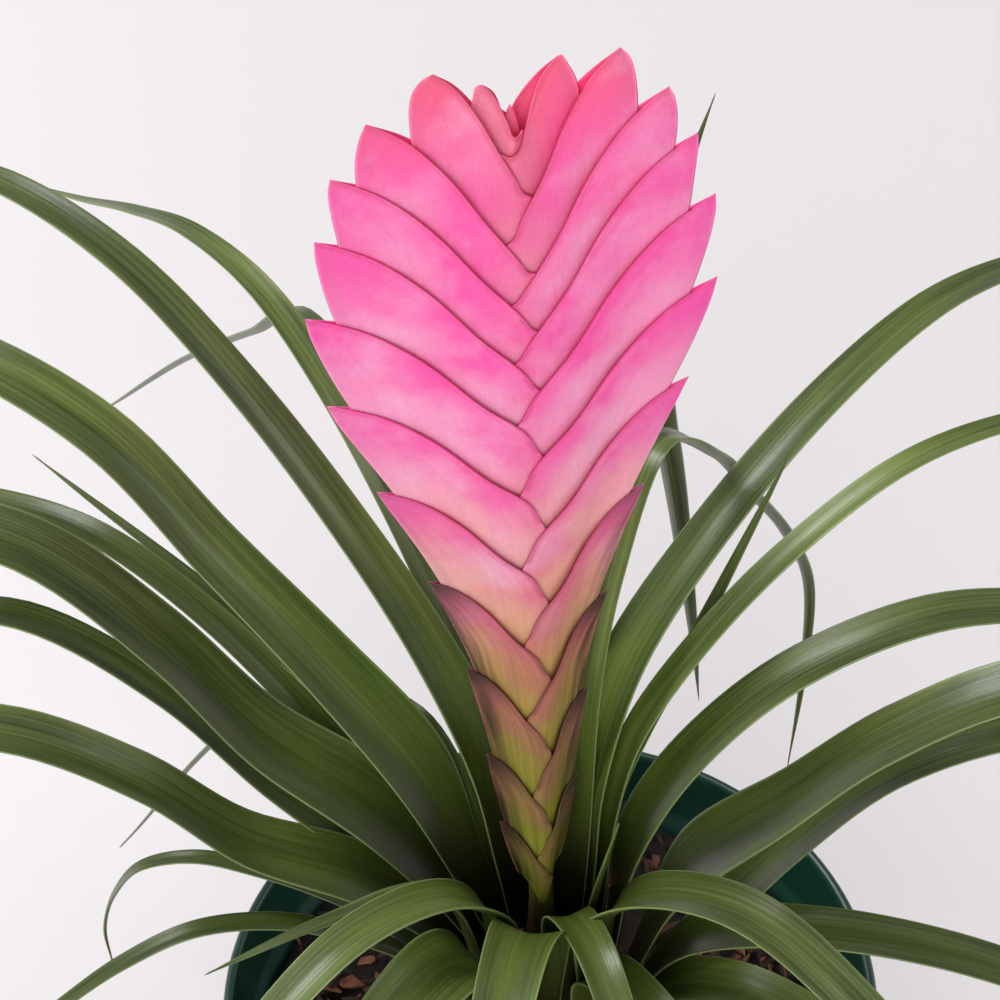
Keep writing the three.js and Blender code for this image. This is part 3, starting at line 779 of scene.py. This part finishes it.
def chip_shape(draw, size):
    """One torn chip: the hull of points in a flat box, longer along its fibres."""
    long, wide, thick = size
    shape = bmesh.new()
    for _ in range(CHIP_POINTS):
        x, y, z = (draw.uniform(-1, 1) for _ in range(3))
        shape.verts.new((x * long / 2, y * wide / 2 * (1 - 0.45 * abs(x)), z * thick / 2))
    hull = bmesh.ops.convex_hull(shape, input=shape.verts)
    spare = {v for v in hull["geom_interior"] + hull["geom_unused"] if isinstance(v, bmesh.types.BMVert)}
    bmesh.ops.delete(shape, geom=list(spare), context="VERTS")
    shape.verts.index_update()
    points = np.array([v.co[:] for v in shape.verts])
    faces = [[v.index for v in face.verts] for face in shape.faces]
    shape.free()
    return points, faces


def turn_matrix(draw, lean):
    """A random heading about Z with a lean of up to `lean` radians."""
    return np.array(Euler((draw.uniform(-lean, lean), draw.uniform(-lean, lean),
                           draw.uniform(0, 2 * math.pi))).to_matrix())


def bed_place(draw, inner, outer, heights):
    """A random place over the bed of mix, between two radii, at a height within a range over it."""
    radius = math.sqrt(draw.uniform(inner ** 2, outer ** 2))
    angle = draw.uniform(0, 2 * math.pi)
    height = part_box("potting_mix")[1].z + draw.uniform(*heights)
    return np.array([radius * math.cos(angle), radius * math.sin(angle), height])


def loose_piece(name, parts, material, smooth=False):
    """One piece made of many loose ones, each given by its points, its faces and its tone."""
    vertices, faces, tone = [], [], []
    for points, shape, shade in parts:
        start = len(vertices)
        vertices.extend(points)
        faces.extend(tuple(start + i for i in face) for face in shape)
        tone.extend([shade] * len(points))
    return piece_from(name, vertices, faces, {"tone": tone}, material, smooth=smooth)


def scatter_chips(name, count, sizes, heights, seed, material, spread):
    """A layer of loose chips on the mix, as one piece."""
    draw = random.Random(seed)
    parts = []
    for _ in range(count):
        long = draw.uniform(*sizes)
        size = (long, long * draw.uniform(*CHIP_WIDTHS), long * draw.uniform(*CHIP_THICKNESSES))
        points, shape = chip_shape(draw, size)
        centre = bed_place(draw, CHIP_CLEARANCE, spread - long / 2, heights)
        placed = points @ turn_matrix(draw, CHIP_LEAN).T + centre
        parts.append((placed, shape, (draw.uniform(0, 1), draw.random())))
    return loose_piece(name, parts, material)


# How far up the trunk the cup of the rosette is, and the middles over it and sizes, in
# millimetres, of the chips caught there.
CUP_HEIGHT = 45 * MM
CAUGHT = (((9.5, 7, 6), (8.5, 5, 4)), ((-12.5, 7.5, 4), (6.5, 3.5, 3)))


def caught_chips(name, seed, material):
    """Two pale new chips of bark caught in the cup of the rosette, behind the flower stalk."""
    draw = random.Random(seed)
    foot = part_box("flower_stem")[0].z + CUP_HEIGHT
    parts = []
    for middle, size in CAUGHT:
        points, shape = chip_shape(draw, np.array(size) * MM)
        placed = points @ turn_matrix(draw, CAUGHT_LEAN).T + np.array(middle) * MM + foot * UP
        parts.append((placed, shape, (0.6, draw.random())))
    return loose_piece(name, parts, material)


def tube(points, radius, sides=6):
    """Vertices and faces of a thin closed tube along points, with pointed ends."""
    points = np.asarray(points)
    tangent = unit(np.gradient(points, axis=0))
    side = unit(np.cross(tangent, UP + 0.01))
    above = np.cross(side, tangent)
    vertices = []
    for k in range(1, len(points) - 1):
        for s in range(sides):
            angle = 2 * math.pi * s / sides
            vertices.append(points[k] + radius * (math.cos(angle) * side[k] + math.sin(angle) * above[k]))
    rings = len(points) - 2
    faces = []
    for k in range(rings - 1):
        for s in range(sides):
            a, b = k * sides + s, k * sides + (s + 1) % sides
            faces.append((a, b, b + sides, a + sides))
    for start, end in ((0, points[0]), ((rings - 1) * sides, points[-1])):
        vertices.append(end)
        for s in range(sides):
            a, b = start + s, start + (s + 1) % sides
            face = (b, a, len(vertices) - 1)
            faces.append(face if start == 0 else face[::-1])
    return vertices, faces


FIBRE_STEPS = 8
FIBRE_LENGTHS, FIBRE_RADII = (5, 15), (0.14, 0.32)
FIBRE_HEIGHTS = (0.2 * MM, 2.2 * MM)
FIBRE_BEND, FIBRE_LIFT = 1.6, 0.25
FEWEST_POINTS = 4


def scatter_fibres(name, count, seed, material, spread):
    """Loose bark and root fibres lying over the chips. What would pass the pot's wall is cut off."""
    draw = random.Random(seed)
    parts = []
    for _ in range(count):
        here = bed_place(draw, FIBRE_CLEARANCE, spread - 8 * MM, FIBRE_HEIGHTS)
        heading = draw.uniform(0, 2 * math.pi)
        bend = draw.uniform(-FIBRE_BEND, FIBRE_BEND)
        step = draw.uniform(*FIBRE_LENGTHS) * MM / FIBRE_STEPS
        path = [here]
        for _ in range(FIBRE_STEPS + 1):
            heading += bend / FIBRE_STEPS
            lift = draw.uniform(-FIBRE_LIFT, FIBRE_LIFT)
            here = here + step * np.array([math.cos(heading), math.sin(heading), lift])
            path.append(here)
        path = [p for p in path[:-1] if math.hypot(p[0], p[1]) < spread]
        if len(path) < FEWEST_POINTS:
            continue
        points, shape = tube(path, draw.uniform(*FIBRE_RADII) * MM)
        parts.append((points, shape, (draw.uniform(0.3, 1.0), draw.random())))
    return loose_piece(name, parts, material, smooth=True)


# ---------------------------------------------------------------------------------- the plant

leaf_finish = leaf_cuticle()
bract_finish = bract_tissue()
chip_stops = [(0.0, "#120a07"), (0.4, "#28160f"), (0.7, "#44251a"), (0.88, "#653a27"), (1.0, "#8a5a3c")]
crumb_stops = [(0.0, "#0b0604"), (0.5, "#1a0f0a"), (1.0, "#2f1c13")]
fresh_stops = [(0.0, "#8a5a34"), (0.5, "#bf8154"), (1.0, "#dba378")]
crumb_finish = torn_bark("damp_bark_crumb", crumb_stops, 0.95)
chip_finish = torn_bark("torn_bark_chips", chip_stops, 0.8)

nodes = sorted(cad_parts)
leaves = [n for n in nodes if n.startswith("leaf_")]
bracts = [n for n in nodes if n.startswith("bract_")]

for number, node in enumerate(leaves):
    make_leaf(node, number, leaf_finish)

spike_low = min(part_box(n)[0].z for n in bracts)
spike_high = max(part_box(n)[1].z for n in bracts)
stalk_rings, stalk_tip = lattice("flower_stem")
stalk_heights = np.array([ring[:, 2].mean() for ring in stalk_rings] + [stalk_tip[2]])
stalk_middles = np.array([ring[:, 0].mean() for ring in stalk_rings] + [stalk_tip[0]])


def spike_axis(height):
    """Where the spike's axis is, along X, at a height."""
    return np.interp(height, stalk_heights, stalk_middles)


spike_span = (spike_low, spike_high)
for number, node in enumerate(bracts[:-1]):
    make_bract(node, number, spike_axis, spike_span, bract_finish)
make_bud(bracts[-1], spike_span, bract_finish)

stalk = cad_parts["flower_stem"]
stalk.data.materials.clear()
stalk.data.materials.append(stalk_skin())
stalk.data.polygons.foreach_set("use_smooth", [True] * len(stalk.data.polygons))
joined = stalk.modifiers.new("joined", "WELD")
joined.merge_threshold = WELD
stalk.modifiers.new("rounded", "SUBSURF").render_levels = 2

make_pot(moulded_pot())
make_mix(crumb_finish)
inside = chain_of("potting_mix")[2][0] - 0.5 * MM
scatter_chips("bark_chips_large", 190, (4 * MM, 9 * MM), (-1.5 * MM, 1.2 * MM), 11, chip_finish, inside)
scatter_chips("bark_chips_small", 800, (1.5 * MM, 4 * MM), (-1.0 * MM, 1.6 * MM), 12, chip_finish, inside)
caught_chips("caught_chips", 14, torn_bark("pale_new_bark", fresh_stops, 0.85))
scatter_fibres("bark_fibres", 60, 13, chip_finish, inside)


# ---------------------------------------------------------------------------------- the studio

FLOOR_REACH = 3.0


def add_floor():
    """The floor, which is part of the stage and not of the plant."""
    mesh = bpy.data.meshes.new("studio_floor")
    corners = [(x * FLOOR_REACH, y * FLOOR_REACH, 0) for x, y in ((-1, -1), (1, -1), (1, 1), (-1, 1))]
    mesh.from_pydata(corners, [], [(0, 1, 2, 3)])
    mesh.materials.append(studio_floor())
    floor = bpy.data.objects.new("studio_floor", mesh)
    bpy.context.scene.collection.objects.link(floor)


def aimed(thing, place, target, roll=0.0):
    """Puts a lamp or camera at a place, looking at a target, rolled about its line of sight."""
    look = Vector(target) - Vector(place)
    turn = look.to_track_quat("-Z", "Y")
    thing.rotation_mode = "QUATERNION"
    thing.rotation_quaternion = turn @ Quaternion((0, 0, 1), roll)
    thing.location = place
    bpy.context.scene.collection.objects.link(thing)


def add_lamp(name, place, size, watts):
    """A round white softbox, turned to the middle of the plant."""
    light = bpy.data.lights.new(name, "AREA")
    light.shape = "DISK"
    light.size = size
    light.energy = watts
    aimed(bpy.data.objects.new(name, light), place, PLANT_MIDDLE)


# The camera looks down on the spike from in front, from this far away along its line of sight.
PITCH, ROLL = math.radians(47.8), math.radians(-2.0)
AIM = Vector((-5.4, 0.0, 218.8)) * MM
DISTANCE = 511.2 * MM
SENSOR, LENS, CLIP_START = 36, 129.6, 0.01
PLANT_MIDDLE = (0, 0, 0.18)
WORLD_STRENGTH = 0.38

add_floor()
camera_data = bpy.data.cameras.new("camera")
camera_data.sensor_width = SENSOR
camera_data.lens = LENS
camera_data.clip_start = CLIP_START
camera = bpy.data.objects.new("camera", camera_data)
line_of_sight = Vector((0, math.cos(PITCH), -math.sin(PITCH)))
aimed(camera, AIM - DISTANCE * line_of_sight, AIM, ROLL)
bpy.context.scene.camera = camera

add_lamp("key_softbox", (-0.8, 0.35, 1.3), 0.8, 22)
add_lamp("front_fill", (-0.2, -1.3, 0.9), 1.2, 16.5)
add_lamp("right_fill", (1.3, 0.3, 0.8), 0.7, 4)
world = bpy.data.worlds.new("studio")
world.use_nodes = True
background = world.node_tree.nodes["Background"]
background.inputs["Color"].default_value = linear("#ffffff")
background.inputs["Strength"].default_value = WORLD_STRENGTH
bpy.context.scene.world = world
bpy.context.scene.view_settings.view_transform = "Standard"
